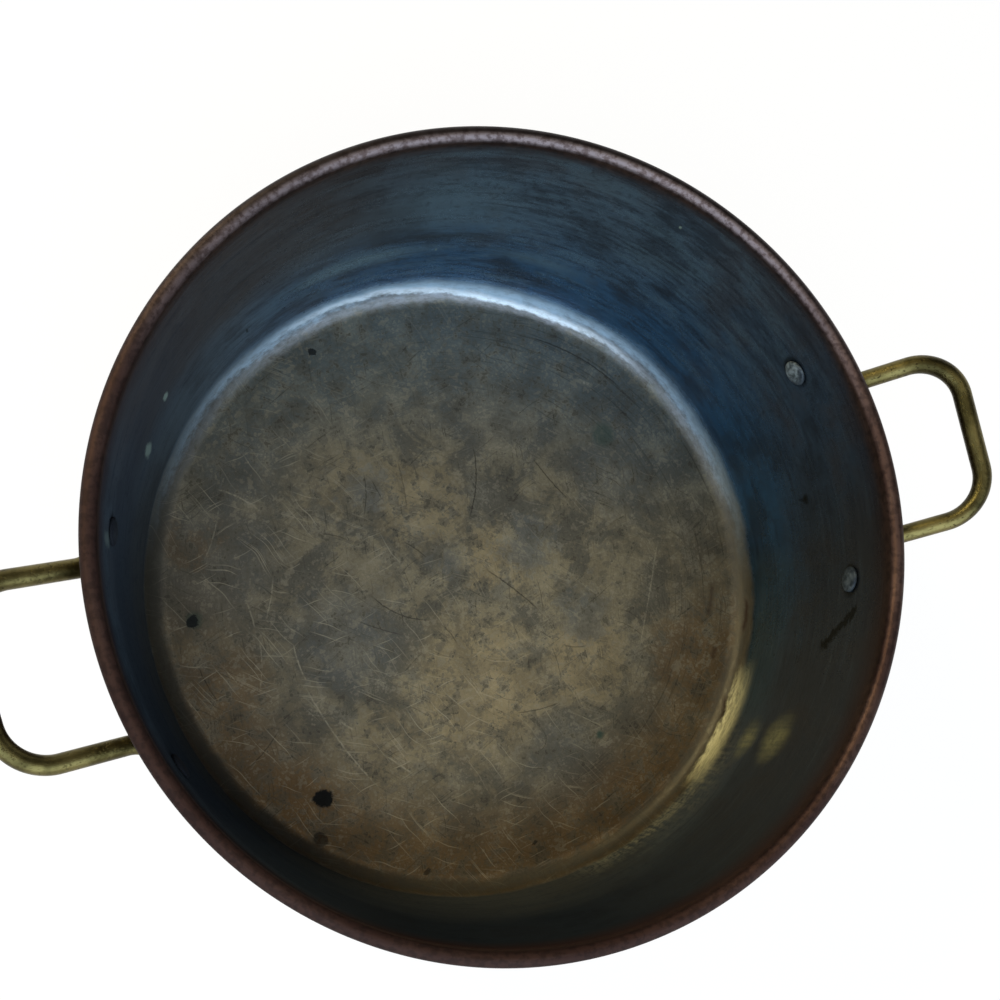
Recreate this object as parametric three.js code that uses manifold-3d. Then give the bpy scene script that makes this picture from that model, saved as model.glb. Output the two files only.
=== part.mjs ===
// Copper casserole: a spun copper pan with a wired rim and two riveted brass loop handles.
// Millimetres, +Z up. The origin is the middle of the flat base, and the handles lie along X.
import * as THREE from "three";
import { mergeVertices } from "three/addons/utils/BufferGeometryUtils.js";
import Module from "manifold-3d";

// Pan: one sheet of copper, spun to a flat floor and an upright wall
const rimDiameter = 300;
const panHeight = 132;
const sheetThickness = 1.5;
const floorThickness = 2;
const insideCornerRadius = 9;
const wallDraft = 0.8;

// Rim: the edge of the sheet is rolled outwards round an iron wire
const beadDiameter = 5.8;
const curlEndAngle = -105;
const wireClearance = 0.3;

// Handles: a brass rod bent to a loop, with its ends turned out and flattened into feet
const rodDiameter = 7;
const armSpacing = 63;
const handleReach = 36.5;
const handleRise = 20;
const armDrop = 22;
const outerBendRadius = 17;
const footBendRadius = 12;
const footWidth = 13;
const footThickness = 3;
const footTail = 8;
const footSquareness = 0.5;

// Rivets: one through each foot
const rivetSpacing = 88;
const rivetDrop = 31;
const shankDiameter = 5;
const holeClearance = 0.3;
const innerHeadDiameter = 10.4;
const innerHeadHeight = 1.8;
const outerHeadDiameter = 9.6;
const outerHeadHeight = 2.6;
const headEdgeShare = 0.25;

// Gap left between faces that touch on the real pan
const seatGap = 0.3;

// Fineness of the facets
const roundSteps = 80;
const cornerSteps = 5;
const curlSteps = 10;
const wireSides = 10;
const rodSides = 16;
const bendSteps = 7;
const tipSteps = 4;
const straightStep = 6;
const rivetSides = 20;
const domeSteps = 4;
const mergeDistance = 1e-4;

const rimRadius = rimDiameter / 2;
const beadRadius = beadDiameter / 2;
const beadCentreRadius = rimRadius - beadRadius;
const beadCentreZ = panHeight - beadRadius;
const rodRadius = rodDiameter / 2;
const rivetZ = panHeight - rivetDrop;
const armRootZ = panHeight - armDrop;

const copper = new THREE.MeshStandardMaterial({ color: 0x5b4636, roughness: 0.45, metalness: 0.9 });
const iron = new THREE.MeshStandardMaterial({ color: 0x3a3632, roughness: 0.7, metalness: 0.8 });
const brass = new THREE.MeshStandardMaterial({ color: 0x7d6c32, roughness: 0.4, metalness: 0.9 });
const tinnedCopper = new THREE.MeshStandardMaterial({ color: 0x66727a, roughness: 0.5, metalness: 0.8 });

const wasm = await Module();
wasm.setup();

const radians = THREE.MathUtils.degToRad;

// The wall leans in by wallDraft from the bead down to the base
function wallInnerRadius(z) {
  const mouthRadius = beadCentreRadius - beadRadius;
  return mouthRadius - wallDraft * (1 - z / beadCentreZ);
}

function wallOuterRadius(z) {
  return wallInnerRadius(z) + sheetThickness;
}

// Points of an arc in a profile, from one angle to another, in degrees
function arcPoints(centreX, centreY, radius, from, to, steps) {
  const points = [];
  for (let i = 0; i <= steps; i++) {
    const angle = radians(from + ((to - from) * i) / steps);
    points.push(new THREE.Vector2(centreX + radius * Math.cos(angle), centreY + radius * Math.sin(angle)));
  }
  return points;
}

// One closed mesh with shared corners and no collapsed triangles
function closedMesh(geometry) {
  const bare = geometry.clone();
  bare.deleteAttribute("normal");
  bare.deleteAttribute("uv");
  const merged = mergeVertices(bare, mergeDistance);
  const corners = merged.index.array;
  const kept = [];
  for (let i = 0; i < corners.length; i += 3) {
    const [a, b, c] = [corners[i], corners[i + 1], corners[i + 2]];
    if (a !== b && b !== c && c !== a) kept.push(a, b, c);
  }
  merged.setIndex(kept);
  return merged;
}

function toSolid(geometry) {
  const merged = closedMesh(geometry);
  const vertProperties = new Float32Array(merged.attributes.position.array);
  const triVerts = new Uint32Array(merged.index.array);
  return new wasm.Manifold(new wasm.Mesh({ numProp: 3, vertProperties, triVerts }));
}

function toGeometry(solid) {
  const result = solid.getMesh();
  const geometry = new THREE.BufferGeometry();
  geometry.setAttribute("position", new THREE.BufferAttribute(new Float32Array(result.vertProperties), 3));
  geometry.setIndex(new THREE.BufferAttribute(new Uint32Array(result.triVerts), 1));
  return geometry;
}

// A profile of radius and height turned round the Z axis
function turned(profile, steps) {
  return new THREE.LatheGeometry(profile, steps).rotateX(Math.PI / 2);
}

// The cut sheet: up the outside, round the curl and back, down the inside
function panProfile() {
  const outsideCornerRadius = insideCornerRadius + floorThickness;
  const outerCornerX = wallOuterRadius(outsideCornerRadius) - outsideCornerRadius;
  const innerCornerX = wallInnerRadius(outsideCornerRadius) - insideCornerRadius;
  const cavityRadius = beadRadius - sheetThickness;
  return [
    new THREE.Vector2(0, 0),
    ...arcPoints(outerCornerX, outsideCornerRadius, outsideCornerRadius, -90, 0, cornerSteps),
    ...arcPoints(beadCentreRadius, beadCentreZ, cavityRadius, 180, curlEndAngle, curlSteps),
    ...arcPoints(beadCentreRadius, beadCentreZ, beadRadius, curlEndAngle, 180, curlSteps + 2),
    ...arcPoints(innerCornerX, outsideCornerRadius, insideCornerRadius, 0, -90, cornerSteps),
    new THREE.Vector2(0, floorThickness),
  ];
}

// Both handles have the same two rivets, and the left handle is the right one turned half round
const rivetAngle = Math.asin(rivetSpacing / 2 / wallOuterRadius(rivetZ));
const rivetPlaces = [
  { name: "rivet_right_a", angle: rivetAngle },
  { name: "rivet_right_b", angle: -rivetAngle },
  { name: "rivet_left_a", angle: Math.PI + rivetAngle },
  { name: "rivet_left_b", angle: Math.PI - rivetAngle },
];

// A rod along the line of a rivet, long enough to drill both wall and foot
function drill(angle) {
  const radius = shankDiameter / 2 + holeClearance;
  const length = 4 * (sheetThickness + footThickness);
  const rod = new THREE.CylinderGeometry(radius, radius, length, rivetSides);
  rod.rotateZ(Math.PI / 2);
  rod.translate(wallOuterRadius(rivetZ), 0, rivetZ);
  rod.rotateZ(angle);
  return toSolid(rod);
}

function panBody() {
  let solid = toSolid(turned(panProfile(), roundSteps));
  for (const place of rivetPlaces) solid = solid.subtract(drill(place.angle));
  return toGeometry(solid);
}

function rimWire() {
  const wireRadius = beadRadius - sheetThickness - wireClearance;
  const ring = new THREE.TorusGeometry(beadCentreRadius, wireRadius, wireSides, roundSteps);
  return ring.translate(0, 0, beadCentreZ);
}

// A place on the wall for the middle of a foot, by its way round the wall and its height
function onWall(way, z) {
  const radius = wallOuterRadius(z) + seatGap + footThickness / 2;
  const angle = way / radius;
  return new THREE.Vector3(radius * Math.cos(angle), radius * Math.sin(angle), z);
}

// Half of the rod's middle line: foot tip, root of the arm, outer corner, middle of the grip
function handleCorners() {
  const seatRadius = wallOuterRadius(rivetZ) + seatGap + footThickness / 2;
  const rivetWay = seatRadius * rivetAngle;
  const rootWay = seatRadius * Math.asin(armSpacing / 2 / seatRadius);
  const footLine = new THREE.Vector2(rivetWay - rootWay, rivetZ - armRootZ).normalize();
  const outerX = rimRadius + handleReach;
  const outerZ = armRootZ + handleRise;
  return [
    onWall(rivetWay + footLine.x * footTail, rivetZ + footLine.y * footTail),
    onWall(rootWay, armRootZ),
    new THREE.Vector3(outerX, armSpacing / 2, outerZ),
    new THREE.Vector3(outerX, 0, outerZ),
  ];
}

// A corner of the line becomes an arc that is tangent to both of its sides
function bend(before, corner, after, radius) {
  const back = before.clone().sub(corner).normalize();
  const on = after.clone().sub(corner).normalize();
  const halfTurn = (Math.PI - back.angleTo(on)) / 2;
  const inward = back.clone().add(on).normalize();
  const centre = corner.clone().addScaledVector(inward, radius / Math.cos(halfTurn));
  const start = corner.clone().addScaledVector(back, radius * Math.tan(halfTurn)).sub(centre);
  const end = corner.clone().addScaledVector(on, radius * Math.tan(halfTurn)).sub(centre);
  const points = [];
  for (let i = 0; i <= bendSteps; i++) {
    const share = (2 * i) / bendSteps - 1;
    const first = Math.sin(halfTurn * (1 - share));
    const second = Math.sin(halfTurn * (1 + share));
    const arm = start.clone().multiplyScalar(first).addScaledVector(end, second);
    points.push(arm.divideScalar(Math.sin(2 * halfTurn)).add(centre));
  }
  return points;
}

// Points between two ends of a straight stretch, without the first
function stretch(from, to) {
  const steps = Math.max(1, Math.round(from.distanceTo(to) / straightStep));
  const points = [];
  for (let i = 1; i <= steps; i++) points.push(from.clone().lerp(to, i / steps));
  return points;
}

// Points close together where the foot's tip is rounded, a quarter circle seen from above
function tipPoints(tip, root) {
  const points = [];
  for (let i = 1; i <= tipSteps; i++) {
    const way = (footWidth / 2) * (1 - Math.cos(radians((90 * i) / tipSteps)));
    points.push(tip.clone().lerp(root, way / tip.distanceTo(root)));
  }
  return points;
}

function handleLine() {
  const [tip, root, outer, middle] = handleCorners();
  const roundTip = tipPoints(tip, root);
  const footBend = bend(tip, root, outer, footBendRadius);
  const gripBend = bend(root, outer, middle, outerBendRadius);
  return [
    ...roundTip,
    ...stretch(roundTip[roundTip.length - 1], footBend[0]),
    ...footBend.slice(1),
    ...stretch(footBend[bendSteps], gripBend[0]),
    ...gripBend.slice(1),
    ...stretch(gripBend[bendSteps], middle),
  ];
}

// How far each point of the line is from the foot's tip
function distances(line, tip) {
  const ways = [line[0].distanceTo(tip)];
  for (let i = 1; i < line.length; i++) ways.push(ways[i - 1] + line[i].distanceTo(line[i - 1]));
  return ways;
}

// The section turns from a flat foot with a rounded tip into a round rod
function sectionAt(way, footEnd, rodStart) {
  const share = THREE.MathUtils.smoothstep(way, footEnd, rodStart);
  const tipShare = Math.min(1, way / (footWidth / 2));
  const tipRounding = Math.sqrt(1 - (1 - tipShare) ** 2);
  return {
    halfWidth: THREE.MathUtils.lerp(footWidth / 2, rodRadius, share) * tipRounding,
    halfThickness: THREE.MathUtils.lerp(footThickness / 2, rodRadius, share),
    power: THREE.MathUtils.lerp(footSquareness, 1, share),
  };
}

// Pushes a point out to the wall, as the foot is hammered down on it
function seated(point) {
  const seat = wallOuterRadius(point.z) + seatGap;
  const radius = Math.hypot(point.x, point.y);
  if (radius < seat) {
    point.x *= seat / radius;
    point.y *= seat / radius;
  }
  return point;
}

function signedPower(value, power) {
  return Math.sign(value) * Math.abs(value) ** power;
}

// One ring of the rod: across is the width's direction and out the thickness's
function ring(centre, across, out, section) {
  const points = [];
  for (let k = 0; k < rodSides; k++) {
    const angle = (2 * Math.PI * k) / rodSides;
    const wide = section.halfWidth * signedPower(Math.cos(angle), section.power);
    const thick = section.halfThickness * signedPower(Math.sin(angle), section.power);
    points.push(seated(centre.clone().addScaledVector(across, wide).addScaledVector(out, thick)));
  }
  return points;
}

// Rings of the half handle, from the foot's tip to the middle of the grip
function halfRings() {
  const [tip, root, outer, middle] = handleCorners();
  const line = handleLine();
  const ways = distances(line, tip);
  const footEnd = footTail + outerHeadDiameter / 2;
  const rodStart = root.distanceTo(tip) + rodDiameter;
  const gripStart = root.distanceTo(tip) + outer.distanceTo(root) - outerBendRadius;
  const radial = new THREE.Vector3(root.x, root.y, 0).normalize();
  const footAcross = radial.clone().cross(root.clone().sub(tip)).normalize();
  const loopAcross = outer.clone().sub(root).cross(middle.clone().sub(outer)).normalize();
  if (footAcross.dot(loopAcross) < 0) loopAcross.negate();
  return line.map((point, i) => {
    const ahead = line[Math.min(i + 1, line.length - 1)];
    const behind = line[Math.max(i - 1, 0)];
    const along = ahead.clone().sub(behind).normalize();
    if (i === line.length - 1) along.set(0, -1, 0);
    const turnShare = THREE.MathUtils.smoothstep(ways[i], rodStart, gripStart);
    const across = footAcross.clone().lerp(loopAcross, turnShare);
    across.addScaledVector(along, -across.dot(along)).normalize();
    const out = along.clone().cross(across);
    const section = sectionAt(ways[i], footEnd, rodStart);
    return ring(seatedCentre(point, section), across, out, section);
  });
}

// Keeps the middle of the foot half its thickness off the wall
function seatedCentre(point, section) {
  const centre = point.clone();
  const least = wallOuterRadius(point.z) + seatGap + section.halfThickness;
  const radius = Math.hypot(centre.x, centre.y);
  if (radius < least) {
    centre.x *= least / radius;
    centre.y *= least / radius;
  }
  return centre;
}

// A closed skin over a row of rings, with a fan over each end
function skin(rings) {
  const sides = rings[0].length;
  const positions = [];
  for (const points of rings) for (const point of points) positions.push(...point.toArray());
  const indices = [];
  for (let i = 0; i + 1 < rings.length; i++) {
    for (let k = 0; k < sides; k++) {
      const [a, b] = [i * sides + k, i * sides + ((k + 1) % sides)];
      indices.push(a, b, b + sides, a, b + sides, a + sides);
    }
  }
  const last = (rings.length - 1) * sides;
  for (let k = 1; k + 1 < sides; k++) indices.push(0, k + 1, k, last, last + k, last + k + 1);
  const geometry = new THREE.BufferGeometry();
  geometry.setAttribute("position", new THREE.Float32BufferAttribute(positions, 3));
  geometry.setIndex(indices);
  return geometry;
}

// The whole loop: the half and its mirror image across the handle's middle plane
function handleGeometry() {
  const half = halfRings();
  const mirrored = half.slice(0, -1).reverse();
  const other = mirrored.map((points) => points.map((p) => new THREE.Vector3(p.x, -p.y, p.z)));
  let solid = toSolid(skin([...half, ...other]));
  for (const angle of [rivetAngle, -rivetAngle]) solid = solid.subtract(drill(angle));
  return toGeometry(solid);
}

// Half outline of a low round head, from its edge to its crown on the axis
function domeOutline(radius, height, seat, direction) {
  const points = [];
  for (let i = 0; i <= domeSteps; i++) {
    const angle = (Math.PI / 2) * (i / domeSteps);
    const lift = height * (headEdgeShare + (1 - headEdgeShare) * Math.sin(angle));
    points.push(new THREE.Vector2(radius * Math.cos(angle), seat + direction * lift));
  }
  points[domeSteps].x = 0;
  return points;
}

// A rivet along +X: a low head inside the pan, the shank, and the set head on the foot
function rivetGeometry() {
  const innerHeadRadius = innerHeadDiameter / 2;
  const inner = wallInnerRadius(rivetZ);
  const sag = inner - Math.sqrt(inner ** 2 - innerHeadRadius ** 2);
  const innerSeat = inner - sag - seatGap;
  const outerSeat = wallOuterRadius(rivetZ) + seatGap + footThickness + seatGap;
  const shankRadius = shankDiameter / 2;
  const profile = [
    ...domeOutline(innerHeadRadius, innerHeadHeight, innerSeat, -1).reverse(),
    new THREE.Vector2(innerHeadRadius, innerSeat),
    new THREE.Vector2(shankRadius, innerSeat),
    new THREE.Vector2(shankRadius, outerSeat),
    new THREE.Vector2(outerHeadDiameter / 2, outerSeat),
    ...domeOutline(outerHeadDiameter / 2, outerHeadHeight, outerSeat, 1),
  ];
  const body = new THREE.LatheGeometry(profile, rivetSides).rotateZ(-Math.PI / 2);
  return closedMesh(body);
}

function addMesh(parent, name, geometry, material) {
  const mesh = new THREE.Mesh(geometry, material);
  mesh.name = name;
  parent.add(mesh);
  return mesh;
}

function addHandle(parent, name, geometry, angle) {
  addMesh(parent, name, geometry, brass).rotation.z = angle;
}

function addRivet(parent, place, geometry) {
  const rivet = addMesh(parent, place.name, geometry, tinnedCopper);
  rivet.rotation.z = place.angle;
  rivet.position.z = rivetZ;
}

const casserole = new THREE.Group();
addMesh(casserole, "pan_body", panBody(), copper);
addMesh(casserole, "rim_wire", rimWire(), iron);
const loop = handleGeometry();
addHandle(casserole, "handle_right", loop, 0);
addHandle(casserole, "handle_left", loop, Math.PI);
const rivet = rivetGeometry();
for (const place of rivetPlaces) addRivet(casserole, place, rivet);

export default casserole;
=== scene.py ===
"""Looks of an old copper casserole: a tinned pan with a wired rim, two brass loop handles and four rivets.

Metres, +Z up. The pan's axis is Z and its handles lie along X. Every shape is a grid of points worked out
from two parameters: the way along an outline, and the turn about an axis or a rod.
"""

import math

import bpy
import numpy as np
from mathutils import Matrix, Vector


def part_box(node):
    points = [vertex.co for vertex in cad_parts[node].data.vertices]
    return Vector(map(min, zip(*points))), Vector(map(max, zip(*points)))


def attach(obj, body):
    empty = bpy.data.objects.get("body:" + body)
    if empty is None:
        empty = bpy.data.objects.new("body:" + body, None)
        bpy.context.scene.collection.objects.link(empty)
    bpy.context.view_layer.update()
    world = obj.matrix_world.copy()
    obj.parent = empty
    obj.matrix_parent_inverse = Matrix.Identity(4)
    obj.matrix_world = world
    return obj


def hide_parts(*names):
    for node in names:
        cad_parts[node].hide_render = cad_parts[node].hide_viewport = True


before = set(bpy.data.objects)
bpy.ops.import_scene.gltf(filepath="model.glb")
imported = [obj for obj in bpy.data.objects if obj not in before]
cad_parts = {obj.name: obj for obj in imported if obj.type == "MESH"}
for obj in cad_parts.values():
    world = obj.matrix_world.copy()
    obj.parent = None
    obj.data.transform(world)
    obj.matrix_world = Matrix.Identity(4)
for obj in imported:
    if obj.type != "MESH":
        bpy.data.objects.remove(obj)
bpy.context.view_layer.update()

MM = 0.001

# Pan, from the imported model's boxes and the sheet's own sizes
_, pan_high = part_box("pan_body")
RIM_RADIUS = pan_high.x
PAN_HEIGHT = pan_high.z
SHEET = 1.5 * MM
FLOOR = 2 * MM
INSIDE_CORNER = 9 * MM
WALL_DRAFT = 0.8 * MM
BEAD_RADIUS = 2.9 * MM
CURL_END = math.radians(-105)
BEAD_CENTRE = RIM_RADIUS - BEAD_RADIUS
BEAD_HEIGHT = PAN_HEIGHT - BEAD_RADIUS
MOUTH_RADIUS = BEAD_CENTRE - BEAD_RADIUS

# Handles
_, handle_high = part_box("handle_right")
ROD_RADIUS = 3.5 * MM
ARM_SPACING = 63 * MM
GRIP_REACH = handle_high.x - ROD_RADIUS
GRIP_HEIGHT = handle_high.z - ROD_RADIUS
ARM_ROOT_HEIGHT = PAN_HEIGHT - 22 * MM
OUTER_BEND = 17 * MM
FOOT_BEND = 12 * MM
FOOT_WIDTH = 13 * MM
FOOT_THICKNESS = 3 * MM
FOOT_TAIL = 8 * MM
FOOT_SQUARENESS = 0.5
SEAT_GAP = 0.3 * MM

# Rivets
rivet_low, rivet_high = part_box("rivet_right_a")
RIVET_HEIGHT = (rivet_low.z + rivet_high.z) / 2
RIVET_SPACING = 88 * MM
SHANK_RADIUS = 2.5 * MM
HOLE_CLEARANCE = 0.3 * MM
INNER_HEAD = (5.2 * MM, 1.8 * MM)
OUTER_HEAD = (4.8 * MM, 2.6 * MM)
HEAD_EDGE = 0.25
HAMMER_DEPTH = 0.06 * MM

# Camera, fitted to the photograph's rim, floor ring and handles
EYE = Vector((-0.0993, -0.0385, 0.4979))
SIGHT = Vector((0.2014, -0.0328, -0.979))
IMAGE_RIGHT = Vector((0.9422, -0.2667, 0.2027))
FOCUS_PIXELS = 1065
IMAGE_PIXELS = 1000
AXIS_PIXEL = (500, 700)
SENSOR = 36

# Points round each kind of piece, and the angle from which an edge is shaded sharp
PAN_SIDES = 384
ROUND_SIDES = 48
BAR_SIDES = 32
SHARP_FROM = math.radians(40)


def wall_inner(height):
    """Radius of the wall's inner face: it leans in by the draft from the bead down to the base."""
    return MOUTH_RADIUS - WALL_DRAFT * (1 - height / BEAD_HEIGHT)


def wall_outer(height):
    """Radius of the wall's outer face."""
    return wall_inner(height) + SHEET


def arc(centre, radius, start, end, steps):
    """Points of a circle's arc: centre + radius * (cos a, sin a), with a from start to end, in radians."""
    angle = np.linspace(start, end, steps + 1)
    return np.stack([centre[0] + radius * np.cos(angle), centre[1] + radius * np.sin(angle)], 1)


def line(start, end, steps):
    """Points of a straight line: (1 - t) * start + t * end."""
    share = np.linspace(0, 1, steps + 1)[:, None]
    return (1 - share) * np.array(start, float) + share * np.array(end, float)


def chain(*stretches):
    """Stretches end to end, each without its first point if the one before it ends there."""
    return np.concatenate([stretches[0]] + [stretch[1:] for stretch in stretches[1:]])


def turned(outline, steps):
    """A surface of revolution: (r cos a, r sin a, z) for each point (r, z) of the outline and each turn a."""
    angle = np.linspace(0, 2 * math.pi, steps, endpoint=False)
    radius, height = outline[:, :1], outline[:, 1:2]
    return np.stack([radius * np.cos(angle), radius * np.sin(angle), height + 0 * angle], 2)


def closed_skin(name, grid):
    """A closed mesh over a grid whose rows wrap round and whose first and last rows are single points.

    The faces are turned outwards by the sign of the volume, the sum of a . (b x c) / 6 over all triangles.
    """
    rows, around = grid.shape[:2]
    points = np.concatenate([grid[0, :1], grid[1:-1].reshape(-1, 3), grid[-1, :1]])
    here = np.arange(around)
    after = np.roll(here, -1)
    start = 1 + around * np.arange(rows - 3)[:, None]
    next_row = start + around
    quads = np.stack([start + here, start + after, next_row + after, next_row + here], 2).reshape(-1, 4)
    last = 1 + around * (rows - 3)
    first_fan = np.stack([0 * here, 1 + after, 1 + here], 1)
    last_fan = np.stack([0 * here + len(points) - 1, last + here, last + after], 1)
    fans = np.concatenate([first_fan, last_fan])
    triangles = np.concatenate([fans, quads[:, [0, 1, 2]], quads[:, [0, 2, 3]]])
    a, b, c = (points[triangles[:, corner]] for corner in range(3))
    if (a * np.cross(b, c)).sum() < 0:
        fans, quads = fans[:, ::-1], quads[:, ::-1]
    mesh = bpy.data.meshes.new(name)
    mesh.from_pydata(points.tolist(), [], fans.tolist() + quads.tolist())
    mesh.shade_smooth()
    piece = bpy.data.objects.new(name, mesh)
    bpy.context.scene.collection.objects.link(piece)
    return piece


def row_values(piece, name, values, around):
    """A point attribute that has one value for each row of the grid that closed_skin was given."""
    each = np.concatenate([values[:1], np.repeat(values[1:-1], around), values[-1:]])
    attribute = piece.data.attributes.new(name, "FLOAT", "POINT")
    attribute.data.foreach_set("value", each.astype(np.float32))


# Outline of the pan: from the middle of the floor out, up, round the curl, down and back under the base
OUTSIDE_CORNER = INSIDE_CORNER + FLOOR
INNER_CORNER_X = wall_inner(OUTSIDE_CORNER) - INSIDE_CORNER
OUTER_CORNER_X = wall_outer(OUTSIDE_CORNER) - OUTSIDE_CORNER


def pan_stretches():
    """The stretches of the outline as (radius, height) points: lines for wall and floor, arcs for bends."""
    bead = (BEAD_CENTRE, BEAD_HEIGHT)
    wall_top = (MOUTH_RADIUS, BEAD_HEIGHT)
    under_curl = (MOUTH_RADIUS + SHEET, BEAD_HEIGHT)
    return {
        "floor": line((0, FLOOR), (INNER_CORNER_X, FLOOR), 40),
        "corner": arc((INNER_CORNER_X, OUTSIDE_CORNER), INSIDE_CORNER, -math.pi / 2, 0, 16),
        "wall": line((wall_inner(OUTSIDE_CORNER), OUTSIDE_CORNER), wall_top, 44),
        "bead": arc(bead, BEAD_RADIUS, math.pi, CURL_END, 32),
        "curl": arc(bead, BEAD_RADIUS - SHEET, CURL_END, math.pi, 18),
        "outside": line(under_curl, (wall_outer(OUTSIDE_CORNER), OUTSIDE_CORNER), 40),
        "heel": arc((OUTER_CORNER_X, OUTSIDE_CORNER), OUTSIDE_CORNER, 0, -math.pi / 2, 12),
        "base": line((OUTER_CORNER_X, 0), (0, 0), 26),
    }


def distances(points):
    """The way along a row of points up to each of them."""
    steps = np.linalg.norm(np.diff(points, axis=0), axis=1)
    return np.concatenate([[0], np.cumsum(steps)])


STRETCHES = pan_stretches()
LENGTHS = {name: distances(points)[-1] for name, points in STRETCHES.items()}
FLOOR_END = LENGTHS["floor"]
WALL_START = FLOOR_END + LENGTHS["corner"]
BEAD_START = WALL_START + LENGTHS["wall"]
BEAD_TOP = BEAD_START + BEAD_RADIUS * math.pi / 2
CURL_TIP = BEAD_START + LENGTHS["bead"]


def rivet_angle():
    """Turn of a rivet from the handle's middle plane: the wall there is half the spacing off that plane."""
    return math.asin(RIVET_SPACING / 2 / wall_outer(RIVET_HEIGHT))


RIVET_TURNS = {
    "rivet_right_a": rivet_angle(),
    "rivet_right_b": -rivet_angle(),
    "rivet_left_a": math.pi + rivet_angle(),
    "rivet_left_b": math.pi - rivet_angle(),
}


def turn_about_axis(points, angle):
    """Points turned about Z: (x cos a - y sin a, x sin a + y cos a, z)."""
    cosine, sine = math.cos(angle), math.sin(angle)
    return points @ np.array([[cosine, sine, 0], [-sine, cosine, 0], [0, 0, 1]])


def drill(name, angle):
    """A round bar through wall and foot on the line of a rivet, which cuts the rivet's hole."""
    radius = SHANK_RADIUS + HOLE_CLEARANCE
    reach = 9 * MM
    outline = np.array([[0, -reach], [radius, -reach], [radius, reach], [0, reach]])
    bar = turned(outline, BAR_SIDES)
    along_x = bar[..., [2, 0, 1]] + np.array([wall_outer(RIVET_HEIGHT), 0, RIVET_HEIGHT])
    return closed_skin(name, turn_about_axis(along_x, angle))


def cut_holes(piece, angles):
    """Cuts a rivet's hole at each turn, keeps the result as the piece's mesh and removes the cutting bars."""
    bars = [drill(f"bar_{count}", angle) for count, angle in enumerate(angles)]
    for bar in bars:
        cut = piece.modifiers.new(bar.name, "BOOLEAN")
        cut.operation = "DIFFERENCE"
        cut.solver = "EXACT"
        cut.object = bar
    keep_modified(piece)
    for bar in bars:
        bpy.data.objects.remove(bar)


def keep_modified(piece):
    """The mesh with its modifiers applied takes the place of the piece's own mesh."""
    graph = bpy.context.evaluated_depsgraph_get()
    changed = piece.evaluated_get(graph)
    made = bpy.data.meshes.new_from_object(changed, preserve_all_data_layers=True, depsgraph=graph)
    piece.modifiers.clear()
    piece.data = made
    made.shade_smooth()
    made.set_sharp_from_angle(angle=SHARP_FROM)


def pan_shell():
    """The turned sheet of the pan, with the way along its outline kept on it for the finishes."""
    outline = chain(*STRETCHES.values())
    piece = closed_skin("pan_shell", turned(outline, PAN_SIDES))
    row_values(piece, "way", distances(outline), PAN_SIDES)
    cut_holes(piece, RIVET_TURNS.values())
    return piece


def dome(radius, height, seat, direction, steps):
    """Outline of a head: (radius cos a, seat + direction * height * (e + (1 - e) sin a))."""
    angle = np.linspace(0, math.pi / 2, steps + 1)
    lift = height * (HEAD_EDGE + (1 - HEAD_EDGE) * np.sin(angle))
    return np.stack([radius * np.cos(angle), seat + direction * lift], 1)


def hammer_marks(grid, crown):
    """Flats of the hammer on the outer head: shallow waves in x and y, only beyond the crown's plane."""
    x, y, way = grid[..., 0], grid[..., 1], grid[..., 2]
    beyond = np.clip((way - crown) / MM, 0, 1)
    wave = np.cos(1900 * x + 0.6) * np.cos(1600 * y - 0.9) + 0.6 * np.sin(2700 * (x - y))
    return HAMMER_DEPTH * beyond * (wave - 1)


def rivet(name):
    """A rivet turned about its own line, then laid along X, bent to the wall's round and turned to its place.

    Bending moves each point outwards by sqrt(R^2 - y^2) - R, so that both heads follow the wall of radius R.
    """
    inner = wall_inner(RIVET_HEIGHT) - SEAT_GAP
    outer = wall_outer(RIVET_HEIGHT) + 2 * SEAT_GAP + FOOT_THICKNESS
    inner_radius, inner_height = INNER_HEAD
    outer_radius, outer_height = OUTER_HEAD
    outline = chain(
        dome(inner_radius, inner_height, inner, -1, 12)[::-1],
        line((inner_radius, inner - HEAD_EDGE * inner_height), (inner_radius, inner), 1),
        line((inner_radius, inner), (SHANK_RADIUS, inner), 3),
        line((SHANK_RADIUS, inner), (SHANK_RADIUS, outer), 4),
        line((SHANK_RADIUS, outer), (outer_radius, outer), 3),
        line((outer_radius, outer), (outer_radius, outer + HEAD_EDGE * outer_height), 1),
        dome(outer_radius, outer_height, outer, 1, 14),
    )
    outline[[0, -1], 0] = 0
    grid = turned(outline, ROUND_SIDES)
    grid[..., 2] += hammer_marks(grid, outer + HEAD_EDGE * outer_height)
    along_x = grid[..., [2, 0, 1]]
    wall = wall_inner(RIVET_HEIGHT)
    along_x[..., 0] += np.sqrt(wall ** 2 - along_x[..., 1] ** 2) - wall
    along_x[..., 2] += RIVET_HEIGHT
    piece = closed_skin(name + "_head", turn_about_axis(along_x, RIVET_TURNS[name]))
    piece.data.set_sharp_from_angle(angle=SHARP_FROM)
    return piece


def unit(vectors):
    """Vectors at length one, along the last axis."""
    return vectors / np.linalg.norm(vectors, axis=-1, keepdims=True)


def on_wall(way, height):
    """The middle of a foot on the wall, by its way round the wall and its height."""
    radius = wall_outer(height) + SEAT_GAP + FOOT_THICKNESS / 2
    return np.array([radius * math.cos(way / radius), radius * math.sin(way / radius), height])


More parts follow.
